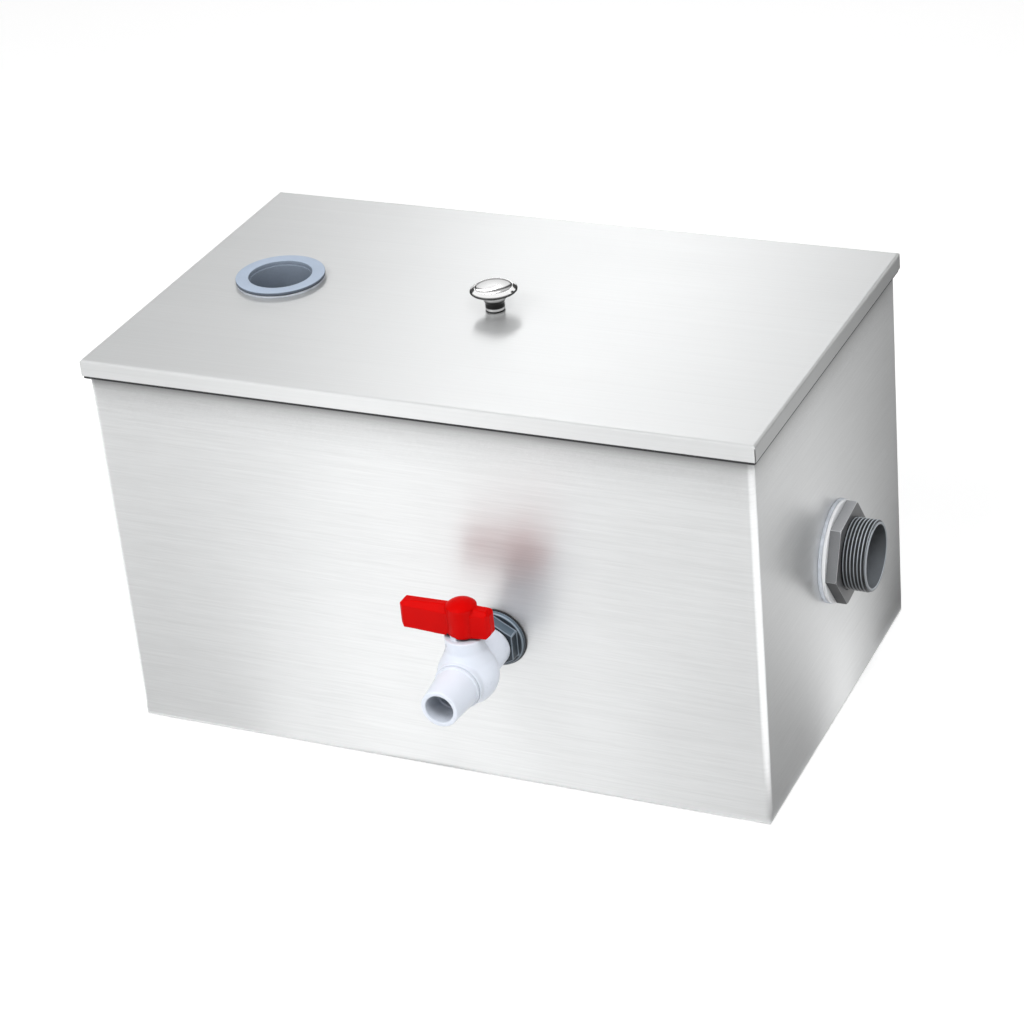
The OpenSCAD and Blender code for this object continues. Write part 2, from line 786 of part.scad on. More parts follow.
// Shallow pan turned over: folded edges on top and an open slit at each corner of the skirt
module lid() {
    color(steel) difference() {
        pan(lid_l, lid_w, lid_top, skirt_h, sheet, lid_fold_r);
        lid_hollow(skirt_h);
        for (x = [-1, 1], y = [-1, 1])
            translate([x * lid_l / 2, y * lid_w / 2, lid_top - lid_fold_r - skirt_h / 2])
                rotate([0, 0, 45 * x * y]) cube([6 * sheet, corner_slit, skirt_h], center = true);
        at_inlet(lid_under - cut) cylinder(d = pipe_hole_d, h = sheet + 2 * cut);
        at_knob(lid_under - cut) cylinder(d = knob_screw_d + loose, h = sheet + 2 * cut);
    }
}

// Seal: a strip that lies on the rim, and a lip that hangs down between the skirt and the wall
module lid_seal() {
    depth = skirt_h - sheet + seal_hang;
    color([0.09, 0.09, 0.10]) difference() {
        lid_hollow(depth);
        translate([0, 0, lid_under - depth - cut]) linear_extrude(depth - seal_t + cut)
            rounded_rectangle(tank_l + 2 * seal_play, tank_w + 2 * seal_play, fold_r + seal_play);
        translate([0, 0, rim_z - cut]) linear_extrude(seal_t + 2 * cut)
            rounded_rectangle(tank_l - 2 * seal_w, tank_w - 2 * seal_w, seal_corner_r);
    }
}

// Turned knob: a foot, a waist, a wide head with a bevelled rim, and a dished top
module knob() {
    r = knob_d / 2;
    dish_r = knob_dish_d / 2;
    foot_r = knob_foot_d / 2;
    waist_r = foot_r - knob_waist;
    rim_z = knob_h - knob_rim_drop;
    neck_z = knob_h / 2;
    neck_r = waist_r + knob_neck_step;
    under = [
        for (t = [0 : 0.125 : 1])
            [neck_r + (r - knob_lip - neck_r) * pow(t, 1.6), neck_z + (rim_z - knob_lip - neck_z) * sqrt(t)]
    ];
    dish = [
        for (t = [1 : -0.125 : 0])
            [dish_r * t, knob_h - knob_dish_lip - knob_dish_depth * (1 - t * t)]
    ];
    profile = concat(
        [[0, 0], [foot_r, 0], [foot_r, knob_foot_h], [waist_r, knob_foot_h + knob_foot_step],
            [waist_r, neck_z - knob_waist_top]],
        under, [[r, rim_z], [r - knob_lip / 2, rim_z + knob_lip], [dish_r + knob_lip, knob_h]], dish
    );
    color([0.85, 0.86, 0.87]) at_knob(lid_top) difference() {
        rotate_extrude() polygon(profile);
        translate([0, 0, -cut]) cylinder(d = knob_screw_d + running, h = knob_h - knob_cap + cut);
    }
}

module knob_washer() {
    color(steel) at_knob(lid_under - sheet) ring(knob_washer_d, knob_screw_d + loose, sheet);
}

module knob_screw() {
    color(steel) at_knob(lid_under - sheet) difference() {
        union() {
            cylinder(d = knob_screw_d, h = 2 * sheet + knob_h - knob_cap - screw_tip);
            translate([0, 0, -screw_head_h])
                cylinder(d1 = screw_head_d - screw_head_taper, d2 = screw_head_d, h = screw_head_h);
        }
        for (a = [0, 90]) translate([0, 0, -screw_head_h]) rotate([0, 0, a])
            cube([screw_slot_l, screw_slot_w, screw_head_h], center = true);
    }
}

tank();
guide_channel(first_baffle, -1);  // first_guide_front
guide_channel(first_baffle, 1);  // first_guide_rear
guide_channel(second_baffle, -1);  // second_guide_front
guide_channel(second_baffle, 1);  // second_guide_rear
baffle(first_baffle);  // inlet_baffle
baffle(second_baffle);  // outlet_baffle
basket_ledge(-1);  // basket_ledge_front
basket_ledge(1);  // basket_ledge_rear
strainer_basket();
basket_handle();
outlet_connector();
outlet_inner_gasket();
outlet_washer();
outlet_gasket();
outlet_nut();
outlet_elbow();
drain_connector();
drain_gasket();
drain_inner_washer();
drain_nut();
valve_body();
valve_spout();
valve_seat(cavity_at);  // valve_seat_inner
valve_seat(cavity_end - seat_l);  // valve_seat_outer
valve_ball();
valve_stem();
stem_o_ring();
valve_handle();
lid();
lid_seal();
inlet_connector();
inlet_gasket();
inlet_nut();
knob();
knob_washer();
knob_screw();
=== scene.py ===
"""Grease trap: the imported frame, dressed for a studio picture from the photograph's angle."""
import json
import math

import bmesh
import bpy
from mathutils import Matrix, Quaternion, Vector


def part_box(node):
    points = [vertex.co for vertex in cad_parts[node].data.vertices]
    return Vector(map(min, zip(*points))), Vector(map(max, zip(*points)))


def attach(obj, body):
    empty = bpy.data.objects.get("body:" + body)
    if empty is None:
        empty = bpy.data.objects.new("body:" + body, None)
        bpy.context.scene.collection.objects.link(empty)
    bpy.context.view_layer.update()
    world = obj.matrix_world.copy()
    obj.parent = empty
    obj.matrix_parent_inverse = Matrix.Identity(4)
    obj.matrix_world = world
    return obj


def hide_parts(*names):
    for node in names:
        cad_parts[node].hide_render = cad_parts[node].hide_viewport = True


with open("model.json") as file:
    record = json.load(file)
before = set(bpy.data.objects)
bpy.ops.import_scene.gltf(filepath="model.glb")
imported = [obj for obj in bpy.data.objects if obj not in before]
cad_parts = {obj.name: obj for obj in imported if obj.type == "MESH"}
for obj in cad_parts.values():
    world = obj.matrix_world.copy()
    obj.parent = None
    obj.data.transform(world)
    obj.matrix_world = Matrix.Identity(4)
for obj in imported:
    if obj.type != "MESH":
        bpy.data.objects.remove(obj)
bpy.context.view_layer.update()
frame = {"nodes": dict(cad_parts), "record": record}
scene = bpy.context.scene
nodes = frame["nodes"]
mounts = {m["name"]: m for m in frame["record"]["mounts"]}
MM = 0.001
SLOTS = {s["node"]: s["material_slot"] for s in frame["record"]["subparts"]}
BODY_OF = {n: b for b, ns in frame["record"]["behaviour"]["bodies"].items() for n in ns}


# Camera, solved from the corners of the box in the photograph
CAMERA_AZIMUTH = math.radians(26.581)
CAMERA_ELEVATION = math.radians(28.890)
CAMERA_ROLL = math.radians(-5.544)
CAMERA_PLACE = Vector((0.8743, -1.7494, 1.2106))
CAMERA_LENS = 106.05
SENSOR = 36.0
CLIP_END = 50.0


def make_camera():
    back = Vector((
        math.sin(CAMERA_AZIMUTH) * math.cos(CAMERA_ELEVATION),
        -math.cos(CAMERA_AZIMUTH) * math.cos(CAMERA_ELEVATION),
        math.sin(CAMERA_ELEVATION),
    ))
    level = Vector((math.cos(CAMERA_AZIMUTH), math.sin(CAMERA_AZIMUTH), 0.0))
    upright = back.cross(level)
    right = math.cos(CAMERA_ROLL) * level + math.sin(CAMERA_ROLL) * upright
    up = math.cos(CAMERA_ROLL) * upright - math.sin(CAMERA_ROLL) * level
    data = bpy.data.cameras.new("camera")
    data.lens = CAMERA_LENS
    data.sensor_width = SENSOR
    data.sensor_fit = "HORIZONTAL"
    data.clip_end = CLIP_END
    camera = bpy.data.objects.new("camera", data)
    scene.collection.objects.link(camera)
    axes = Matrix((right, up, back)).transposed().to_4x4()
    camera.matrix_world = Matrix.Translation(CAMERA_PLACE) @ axes
    scene.camera = camera


# Curves
def clamp(t):
    return min(max(t, 0.0), 1.0)


def ease(t):
    return t * t * (3.0 - 2.0 * t)


def blend_stops(stops, t):
    """Value at t on a curve through (place, value) stops."""
    for (a, low), (b, high) in zip(stops, stops[1:]):
        if t <= b:
            return low + (high - low) * ease((t - a) / (b - a))
    return stops[-1][1]


def shade(colour, factor):
    return tuple(c * factor for c in colour)


# Node helpers
NOISE_LOW, NOISE_HIGH = 0.3, 0.7


def new_material(name):
    mat = bpy.data.materials.new(name)
    mat.use_nodes = True
    return mat, mat.node_tree, mat.node_tree.nodes["Principled BSDF"]


def add(tree, kind, **settings):
    node = tree.nodes.new(kind)
    for key, value in settings.items():
        setattr(node, key, value)
    return node


def object_place(tree):
    return add(tree, "ShaderNodeTexCoord").outputs["Object"]


def surface_normal(tree):
    return add(tree, "ShaderNodeNewGeometry").outputs["Normal"]


def split(tree, vector):
    """The X, Y and Z outputs of a vector."""
    node = add(tree, "ShaderNodeSeparateXYZ")
    tree.links.new(vector, node.inputs["Vector"])
    return node.outputs


def calculate(tree, operation, first, second=None):
    """Result of a math node. second is a link, or a constant where it is a float."""
    node = add(tree, "ShaderNodeMath", operation=operation)
    tree.links.new(first, node.inputs[0])
    if isinstance(second, float):
        node.inputs[1].default_value = second
    elif second is not None:
        tree.links.new(second, node.inputs[1])
    return node.outputs[0]


def calculate_vector(tree, operation, vector, constant=(0.0, 0.0, 0.0)):
    """Result of a vector math node on a link and a constant vector."""
    node = add(tree, "ShaderNodeVectorMath", operation=operation)
    tree.links.new(vector, node.inputs[0])
    node.inputs[1].default_value = constant
    return node.outputs["Value" if operation in ("LENGTH", "DOT_PRODUCT") else "Vector"]


def stretched_noise(tree, coords, scale, detail=3.0, roughness=0.6):
    """Noise in object space, with one scale per axis, in features per metre."""
    mapping = add(tree, "ShaderNodeMapping")
    mapping.inputs["Scale"].default_value = scale
    tree.links.new(coords, mapping.inputs["Vector"])
    noise = add(tree, "ShaderNodeTexNoise")
    noise.inputs["Scale"].default_value = 1.0
    noise.inputs["Detail"].default_value = detail
    noise.inputs["Roughness"].default_value = roughness
    tree.links.new(mapping.outputs["Vector"], noise.inputs["Vector"])
    return noise.outputs["Fac"]


def even_noise(tree, coords, scale, detail=3.0):
    return stretched_noise(tree, coords, (scale, scale, scale), detail)


def ramp(tree, factor, stops):
    """Colours over a factor, from (place, colour) stops."""
    node = add(tree, "ShaderNodeValToRGB")
    elements = node.color_ramp.elements
    while len(elements) < len(stops):
        elements.new(0.5)
    for element, (place, colour) in zip(elements, stops):
        element.position = place
        element.color = (*colour, 1.0)
    tree.links.new(factor, node.inputs["Fac"])
    return node.outputs["Color"]


def grey_ramp(tree, factor, stops):
    """Greys over a factor, from (place, level) stops."""
    return ramp(tree, factor, [(place, (level, level, level)) for place, level in stops])


def remap(tree, factor, low, high, from_low=NOISE_LOW, from_high=NOISE_HIGH):
    node = add(tree, "ShaderNodeMapRange")
    node.inputs["From Min"].default_value = from_low
    node.inputs["From Max"].default_value = from_high
    node.inputs["To Min"].default_value = low
    node.inputs["To Max"].default_value = high
    tree.links.new(factor, node.inputs["Value"])
    return node.outputs["Result"]


def mix_values(tree, a, b, share):
    node = add(tree, "ShaderNodeMix", data_type="FLOAT")
    node.inputs[0].default_value = share
    tree.links.new(a, node.inputs[2])
    tree.links.new(b, node.inputs[3])
    return node.outputs[0]


def multiply(tree, colour, other):
    node = add(tree, "ShaderNodeMix", data_type="RGBA", blend_type="MULTIPLY")
    node.inputs[0].default_value = 1.0
    tree.links.new(colour, node.inputs[6])
    tree.links.new(other, node.inputs[7])
    return node.outputs[2]


def bump(tree, bsdf, height, distance, strength):
    node = add(tree, "ShaderNodeBump")
    node.inputs["Strength"].default_value = strength
    node.inputs["Distance"].default_value = distance
    tree.links.new(height, node.inputs["Height"])
    tree.links.new(node.outputs["Normal"], bsdf.inputs["Normal"])


# Shade in close corners: its reach, its levels from closed to open, and the heights under which it stays clear
CORNER_SAMPLES = 16
LOOK_UP = 0.95
STEEL_REACH = 0.03
STEEL_SHADE = [(0.35, 0.36), (0.65, 0.50), (0.75, 0.72), (0.85, 1.0)]
STEEL_CLEAR = (0.248, 0.262)
PLASTIC_REACH = 0.04
PLASTIC_SHADE = [(0.0, 0.12), (0.4, 0.40), (0.75, 0.85), (1.0, 1.0)]
PLASTIC_CLEAR = (0.03, 0.05)
WHITE_REACH = 0.025
WHITE_SHADE = [(0.0, 0.60), (0.45, 0.72), (0.7, 0.90), (0.88, 1.0)]
NYLON_REACH = 0.006
BLUE_SHADE = [(0.0, 0.03), (0.4, 0.09), (0.75, 0.5), (1.0, 1.0)]

# Painted shade by how far a face looks down (0) or up (1), and painted shade and highlight by the depth of a
# thread
SKY_SHADE = [(0.05, 0.12), (0.5, 0.27), (0.925, 1.0)]
THREAD_SKY = [(0.05, 0.10), (0.5, 0.50), (0.925, 1.0)]
THREAD_PAINTED_LIGHT = [(0.0, 0.06), (0.15, 0.10), (0.5, 0.30), (0.85, 0.9), (1.0, 1.0)]


def corner_shade(tree, colour, reach, stops, clear, look_up=False):
    """Darkens a colour where other surfaces stand close, or close above with look_up."""
    near = add(tree, "ShaderNodeAmbientOcclusion", samples=CORNER_SAMPLES)
    near.inputs["Distance"].default_value = reach
    if look_up:
        tilted = calculate_vector(tree, "ADD", surface_normal(tree), (0.0, 0.0, LOOK_UP))
        tree.links.new(calculate_vector(tree, "NORMALIZE", tilted), near.inputs["Normal"])
    foot = remap(tree, split(tree, object_place(tree))["Z"], 1.0, 0.0, *clear)
    open_share = calculate(tree, "MAXIMUM", near.outputs["AO"], foot)
    return multiply(tree, colour, grey_ramp(tree, open_share, stops))


def sky_shade(tree, colour, stops):
    """Darkens faces that look down, and a little those that stand upright, as soft light from above does."""
    raised = remap(tree, split(tree, surface_normal(tree))["Z"], 0.0, 1.0, -1.0, 1.0)
    return multiply(tree, colour, grey_ramp(tree, raised, stops))


# Brushed steel: hairlines are noise that is stretched along the brushing
STEEL = (0.62, 0.628, 0.63)
LEVEL_GRAIN = (20.0, 24.0, 900.0)
LONG_GRAIN = (5.0, 900.0, 900.0)
FINE_GRAIN, BROAD_GRAIN, CLOUD_GRAIN = 2.6, 0.6, 9.0
FINE_ROUGHNESS = 0.7
BROAD_SHARE, CLOUD_SHARE = 0.5, 0.2
STEEL_ROUGHNESS = (0.30, 0.42)
STEEL_METALLIC = 0.65
BRUSH_STRETCH, BRUSH_TURN = 0.6, 0.25
HAIR_DEPTH, HAIR_STRENGTH = 0.00004, 0.2
LEVEL_FACE = 0.7
END_FACE_FROM, END_FACE_TO = 0.7, 0.95


def brush_tangent(tree, flat_axis):
    """Direction across the hairlines: level on upright faces, about flat_axis on level ones."""
    upright = add(tree, "ShaderNodeTangent", direction_type="RADIAL", axis="Z")
    level = add(tree, "ShaderNodeTangent", direction_type="RADIAL", axis=flat_axis)
    steep = calculate(tree, "ABSOLUTE", split(tree, surface_normal(tree))["Z"])
    pick = add(tree, "ShaderNodeMix", data_type="VECTOR")
    tree.links.new(calculate(tree, "GREATER_THAN", steep, LEVEL_FACE), pick.inputs[0])
    tree.links.new(upright.outputs["Tangent"], pick.inputs[4])
    tree.links.new(level.outputs["Tangent"], pick.inputs[5])
    return pick.outputs[1]


def brushed_steel(name, grain, contrast, stops=None, end_shade=None):
    """Hairline sheet. grain gives how fast the hairlines change along X, Y and Z.

    stops paint shade close under other pieces, and the end level paints faces that look along X darker, a
    painted shade.
    """
    mat, tree, bsdf = new_material(name)
    coords = object_place(tree)
    fine = stretched_noise(tree, coords, [g * FINE_GRAIN for g in grain], detail=4.0, roughness=FINE_ROUGHNESS)
    broad = stretched_noise(tree, coords, [g * BROAD_GRAIN for g in grain], detail=2.0)
    cloud = even_noise(tree, coords, CLOUD_GRAIN, detail=2.0)
    lines = mix_values(tree, fine, broad, BROAD_SHARE)
    hair_and_shade = ramp(tree, mix_values(tree, lines, cloud, CLOUD_SHARE), [
        (NOISE_LOW, shade(STEEL, 1 - contrast)), (0.5, STEEL), (NOISE_HIGH, shade(STEEL, 1 + contrast)),
    ])
    # Painted shade: faces that look along X are darker.
    if end_shade:
        sideways = calculate(tree, "ABSOLUTE", split(tree, surface_normal(tree))["X"])
        hair_and_shade = multiply(tree, hair_and_shade, grey_ramp(tree, sideways, [(END_FACE_FROM, 1.0), (END_FACE_TO, end_shade)]))
    if stops:
        hair_and_shade = corner_shade(tree, hair_and_shade, STEEL_REACH, stops, STEEL_CLEAR, look_up=True)
    tree.links.new(hair_and_shade, bsdf.inputs["Base Color"])
    tree.links.new(remap(tree, lines, *STEEL_ROUGHNESS), bsdf.inputs["Roughness"])
    bsdf.inputs["Metallic"].default_value = STEEL_METALLIC
    bsdf.inputs["Anisotropic"].default_value = BRUSH_STRETCH
    bsdf.inputs["Anisotropic Rotation"].default_value = BRUSH_TURN
    tree.links.new(brush_tangent(tree, "Y"), bsdf.inputs["Tangent"])
    bump(tree, bsdf, fine, HAIR_DEPTH, HAIR_STRENGTH)
    return mat


# Knob: painted reflections, bright on its open faces, dark in its neck and in two rings of its head, with a
# painted highlight band low on the neck
NECK_PAINTED_LIGHT = [
    (0.0, 0.02), (0.06, 0.02), (0.09, 0.9), (0.14, 0.9), (0.18, 0.02), (0.46, 0.03), (0.56, 0.8), (0.7, 1.0),
]
HEAD_PAINTED_REFLECTIONS = [
    (0.0, 0.8), (0.4, 1.0), (0.70, 0.75), (0.745, 0.20), (0.79, 1.0), (0.93, 1.0), (0.97, 0.10), (1.0, 0.06),
]
SMUDGE_GRAIN = 160.0
SMUDGE_TONE = 0.93
SMUDGE_ROUGHNESS = (0.05, 0.13)
COAT, COAT_ROUGHNESS = 0.25, 0.05


def polished_metal(name, colour, node):
    """Bright smudged metal, with the knob's painted reflections and painted highlight, by height and by distance
    from an upright node's axis.
    """
    low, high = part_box(node)
    mat, tree, bsdf = new_material(name)
    coords = object_place(tree)
    smudge = even_noise(tree, coords, SMUDGE_GRAIN)
    bright = ramp(tree, smudge, [(NOISE_LOW, shade(colour, SMUDGE_TONE)), (NOISE_HIGH, colour)])
    foot = ((low.x + high.x) / 2, (low.y + high.y) / 2, low.z)
    centred = calculate_vector(tree, "SUBTRACT", coords, foot)
    flat = calculate_vector(tree, "MULTIPLY", centred, (1.0, 1.0, 0.0))
    reach = calculate_vector(tree, "LENGTH", flat)
    across = remap(tree, reach, 0.0, 1.0, 0.0, (high.x - low.x) / 2)
    up = remap(tree, split(tree, centred)["Z"], 0.0, 1.0, 0.0, high.z - low.z)
    # Painted reflections: dark rings on the head and a dark neck, with a bright band low on the neck as a
    # painted highlight.
    with_head_reflections = multiply(tree, bright, grey_ramp(tree, across, HEAD_PAINTED_REFLECTIONS))
    with_neck_light = multiply(tree, with_head_reflections, grey_ramp(tree, up, NECK_PAINTED_LIGHT))
    tree.links.new(with_neck_light, bsdf.inputs["Base Color"])
    tree.links.new(remap(tree, smudge, *SMUDGE_ROUGHNESS), bsdf.inputs["Roughness"])
    bsdf.inputs["Metallic"].default_value = 1.0
    bsdf.inputs["Coat Weight"].default_value = COAT
    bsdf.inputs["Coat Roughness"].default_value = COAT_ROUGHNESS
    return mat


# Plastic and rubber
PEBBLE_GRAIN, PEBBLE_DEPTH, PEBBLE_STRENGTH = 900.0, 0.00004, 0.5
PATCH_GRAIN, PATCH_SHARE = 60.0, 0.7
RUBBER_GRAIN, RUBBER_DEPTH, RUBBER_STRENGTH = 1400.0, 0.00005, 0.6
RUBBER_ROUGHNESS = (0.55, 0.8)
DUST_GRAIN, DUST_TONE = 90.0, 1.5
DUST_LOW, DUST_HIGH = 0.35, 0.75


def moulded_plastic(name, colour, roughness, mottle=0.07, gloss=0.3, reach=PLASTIC_REACH,
                    stops=PLASTIC_SHADE, painted_tones=None, sky=None, look_up=False):
    """Moulded plastic: a fine pebble, a faint mottle in colour and a gloss that varies.

    stops paint shade into close corners, the tone layer paints shade into thread roots and a highlight on crests
    and rim, and sky paints shade on faces that look down.
    """
    mat, tree, bsdf = new_material(name)
    coords = object_place(tree)
    pebble = even_noise(tree, coords, PEBBLE_GRAIN, detail=2.0)
    patch = even_noise(tree, coords, PATCH_GRAIN, detail=4.0)
    tint_and_shade = ramp(tree, mix_values(tree, pebble, patch, PATCH_SHARE), [
        (NOISE_LOW, shade(colour, 1.0 - mottle)), (NOISE_HIGH, shade(colour, 1.0 + mottle)),
    ])
    if painted_tones:
        attribute = add(tree, "ShaderNodeAttribute", attribute_name="tone")
        tint_and_shade = multiply(tree, tint_and_shade, grey_ramp(tree, attribute.outputs["Fac"], painted_tones))
    if sky:
        tint_and_shade = sky_shade(tree, tint_and_shade, sky)
    tint_and_shade = corner_shade(tree, tint_and_shade, reach, stops, PLASTIC_CLEAR, look_up)
    tree.links.new(tint_and_shade, bsdf.inputs["Base Color"])
    tree.links.new(remap(tree, patch, *roughness), bsdf.inputs["Roughness"])
    bsdf.inputs["Specular IOR Level"].default_value = gloss
    bump(tree, bsdf, pebble, PEBBLE_DEPTH, PEBBLE_STRENGTH)
    return mat


def rubber(name, colour):
    """Matt rubber with a fine grain and patches of dust."""
    mat, tree, bsdf = new_material(name)
    coords = object_place(tree)
    grain = even_noise(tree, coords, RUBBER_GRAIN)
    dust = even_noise(tree, coords, DUST_GRAIN, detail=4.0)
    dusty = ramp(tree, dust, [(DUST_LOW, colour), (DUST_HIGH, shade(colour, DUST_TONE))])
    tree.links.new(dusty, bsdf.inputs["Base Color"])
    tree.links.new(remap(tree, grain, *RUBBER_ROUGHNESS), bsdf.inputs["Roughness"])
    bump(tree, bsdf, grain, RUBBER_DEPTH, RUBBER_STRENGTH)
    return mat


MATERIALS = {
    "wall_steel": brushed_steel("wall_steel", LEVEL_GRAIN, contrast=0.10, stops=STEEL_SHADE),
    "lid_steel": brushed_steel("lid_steel", LONG_GRAIN, contrast=0.06, end_shade=0.62),
    "polished_metal": polished_metal("polished_metal", (0.96, 0.96, 0.96), "knob"),
    "grey_pvc": moulded_plastic("grey_pvc", (0.50, 0.51, 0.53), (0.36, 0.48), sky=SKY_SHADE),
    "thread_pvc": moulded_plastic(
        "thread_pvc", (0.64, 0.69, 0.75), (0.36, 0.48), painted_tones=THREAD_PAINTED_LIGHT, sky=THREAD_SKY,
    ),
    # Lighter edge colours for nuts and the drain connector: a painted highlight on their rounded edges.
    "grey_edge_highlight": moulded_plastic("grey_edge_highlight", (0.74, 0.75, 0.77), (0.34, 0.44), sky=THREAD_SKY),
    "blue_grey_pvc": moulded_plastic(
        "blue_grey_pvc", (0.43, 0.51, 0.63), (0.34, 0.46), gloss=0.12, stops=BLUE_SHADE,
    ),
    "slate_edge_highlight": moulded_plastic("slate_edge_highlight", (0.42, 0.51, 0.60), (0.30, 0.40), sky=THREAD_SKY),
    "slate_pvc": moulded_plastic("slate_pvc", (0.17, 0.23, 0.29), (0.34, 0.48), sky=SKY_SHADE),
    "white_pvc": moulded_plastic(
        "white_pvc", (0.78, 0.83, 0.92), (0.26, 0.36), mottle=0.02,
        reach=WHITE_REACH, stops=WHITE_SHADE, look_up=True,
    ),
    "red_abs": moulded_plastic("red_abs", (0.62, 0.002, 0.0015), (0.30, 0.40), mottle=0.04, gloss=0.03),
    "black_rubber": rubber("black_rubber", (0.016, 0.016, 0.018)),
    "pale_rubber": rubber("pale_rubber", (0.50, 0.53, 0.58)),
    "white_nylon": moulded_plastic(
        "white_nylon", (0.90, 0.91, 0.93), (0.42, 0.52), mottle=0.02, reach=NYLON_REACH, stops=WHITE_SHADE,
    ),
}
LID_STEEL_NODES = ("lid", "knob_washer", "knob_screw")


def finish_of(node):
    slot = SLOTS[node]
    if slot == "stainless":
        return MATERIALS["lid_steel" if node in LID_STEEL_NODES else "wall_steel"]
    return MATERIALS[slot]


def dress_nodes():
    for name, obj in nodes.items():
        obj.data.materials.clear()
        obj.data.materials.append(finish_of(name))


WELD_REACH = 1e-6
EDGE_SEGMENTS = 3
EDGE_ANGLE = math.radians(40.0)


def soften_edges(node, width, edge_highlight=None):
    """Rounds a node's sharp edges with a modifier, so that they catch the light, and may give them a lighter
    colour, a painted highlight.
    """
    weld = nodes[node].modifiers.new("weld", "WELD")
    weld.merge_threshold = WELD_REACH
    mod = nodes[node].modifiers.new("edge", "BEVEL")
    if edge_highlight:
        nodes[node].data.materials.append(MATERIALS[edge_highlight])
        mod.material = 1
    mod.width = width
    mod.segments = EDGE_SEGMENTS
    mod.limit_method = "ANGLE"
    mod.angle_limit = EDGE_ANGLE
    mod.harden_normals = True


# Turned pieces
CORNER_LIMIT = 0.45
TURN_STEPS = 128
TURN_MERGE = 1e-7
PLAIN_TONE = 0.5


def rounded(points, radius, steps=5):
    """Replaces each corner of a closed outline by a short curve that leaves it by radius."""
    result = []
    count = len(points)
    for i, corner in enumerate(points):
        before = Vector(points[i - 1])
        here = Vector(corner)
        after = Vector(points[(i + 1) % count])
        reach_in = min(radius, (before - here).length * CORNER_LIMIT)
        reach_out = min(radius, (after - here).length * CORNER_LIMIT)
        start = here + (before - here).normalized() * reach_in
        end = here + (after - here).normalized() * reach_out
        for step in range(steps + 1):
            t = step / steps
            result.append((1 - t) ** 2 * start + 2 * t * (1 - t) * here + t ** 2 * end)
    return result


def turned(name, outline, place, axis, steps=TURN_STEPS, radius_at=None, painted_light_at=None):
    """Revolves a closed outline of (radius, height) points about an axis through place."""
    turn = Vector((0, 0, 1)).rotation_difference(Vector(axis)).to_matrix().to_4x4()
    matrix = Matrix.Translation(place) @ turn
    bm = bmesh.new()
    # The tone layer carries painted shade and painted highlight, where a piece has them.
    layer = bm.verts.layers.float.new("tone")
    rings = []
    for r, h in outline:
        ring = []
        for i in range(steps):
            angle = 2 * math.pi * i / steps
            reach = radius_at(r, h, angle) if radius_at else r
            vert = bm.verts.new(matrix @ Vector((reach * math.cos(angle), reach * math.sin(angle), h)))
            vert[layer] = painted_light_at(reach, h) if painted_light_at else PLAIN_TONE
            ring.append(vert)
        rings.append(ring)
    for k, ring in enumerate(rings):
        other = rings[(k + 1) % len(rings)]
        for i in range(steps):
            j = (i + 1) % steps
            bm.faces.new((ring[i], ring[j], other[j], other[i]))
    bmesh.ops.remove_doubles(bm, verts=bm.verts, dist=TURN_MERGE)
    bmesh.ops.recalc_face_normals(bm, faces=bm.faces)
    return finish_mesh(name, bm)


def finish_mesh(name, bm):
    mesh = bpy.data.meshes.new(name)
    bm.to_mesh(mesh)
    bm.free()
    mesh.shade_smooth()
    obj = bpy.data.objects.new(name, mesh)
    scene.collection.objects.link(obj)
    return obj


def stand_for(obj, node, finish=None):
    """Puts a finished piece in place of one CAD node, on the same body and in the same slot."""
    obj.data.materials.clear()
    obj.data.materials.append(MATERIALS[finish] if finish else finish_of(node))
    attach(obj, BODY_OF[node])
    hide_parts(node)


SMOOTH_FACTOR = 0.5


def moulded_copy(node, name, voxel, passes):
    """A copy of a node with its edges and inner corners run together, as a moulding has them."""
    obj = bpy.data.objects.new(name, nodes[node].data.copy())
    scene.collection.objects.link(obj)
    weld = obj.modifiers.new("weld", "WELD")
    weld.merge_threshold = WELD_REACH
    remesh = obj.modifiers.new("remesh", "REMESH")
    remesh.mode = "VOXEL"
    remesh.voxel_size = voxel
    smooth = obj.modifiers.new("smooth", "SMOOTH")
    smooth.factor = SMOOTH_FACTOR
    smooth.iterations = passes
    graph = bpy.context.evaluated_depsgraph_get()
    final = bpy.data.meshes.new_from_object(obj.evaluated_get(graph))
    obj.modifiers.clear()
    obj.data = final
    final.name = name
    final.shade_smooth()
    stand_for(obj, node)


# Pipe connectors: one moulding, flange outside on the lid and inside on the end wall
FLANGE = 2.6 * MM
THREAD_CREST = 26.0 * MM
THREAD_DEPTH = 1.3 * MM
THREAD_ROOT = THREAD_CREST - THREAD_DEPTH
THREAD_PITCH = 2.6 * MM
THREAD_ROWS = 14
THREAD_STEPS = 160
THREAD_FADE = 1.6 * MM
THREAD_VALLEY, THREAD_FLANK = 0.34, 0.5
THREAD_TONE_POWER = 1.5
SOCKET_DEPTH = mounts["outlet_socket"]["dims"]["length_mm"] * MM
SOCKET_RADIUS = mounts["outlet_socket"]["dims"]["r_mm"] * MM
RIB = 2.0 * MM
RIB_RADIUS = SOCKET_RADIUS - 1.5 * MM
MOUTH_RADIUS = SOCKET_RADIUS + 0.8 * MM
MOUTH_DEPTH = 3.2 * MM
RIM_DEPTH = 0.6 * MM
CONNECTOR_ROUND = 0.5 * MM
OUTLINE_TOLERANCE = 1e-6


def thread_shape(phase):
    """Height of the thread, from 0 at its root to 1 at its crest, over one pitch."""
    from_middle = abs((phase % 1.0) - 0.5) * 2.0
    return ease(clamp((from_middle - THREAD_VALLEY) / THREAD_FLANK))


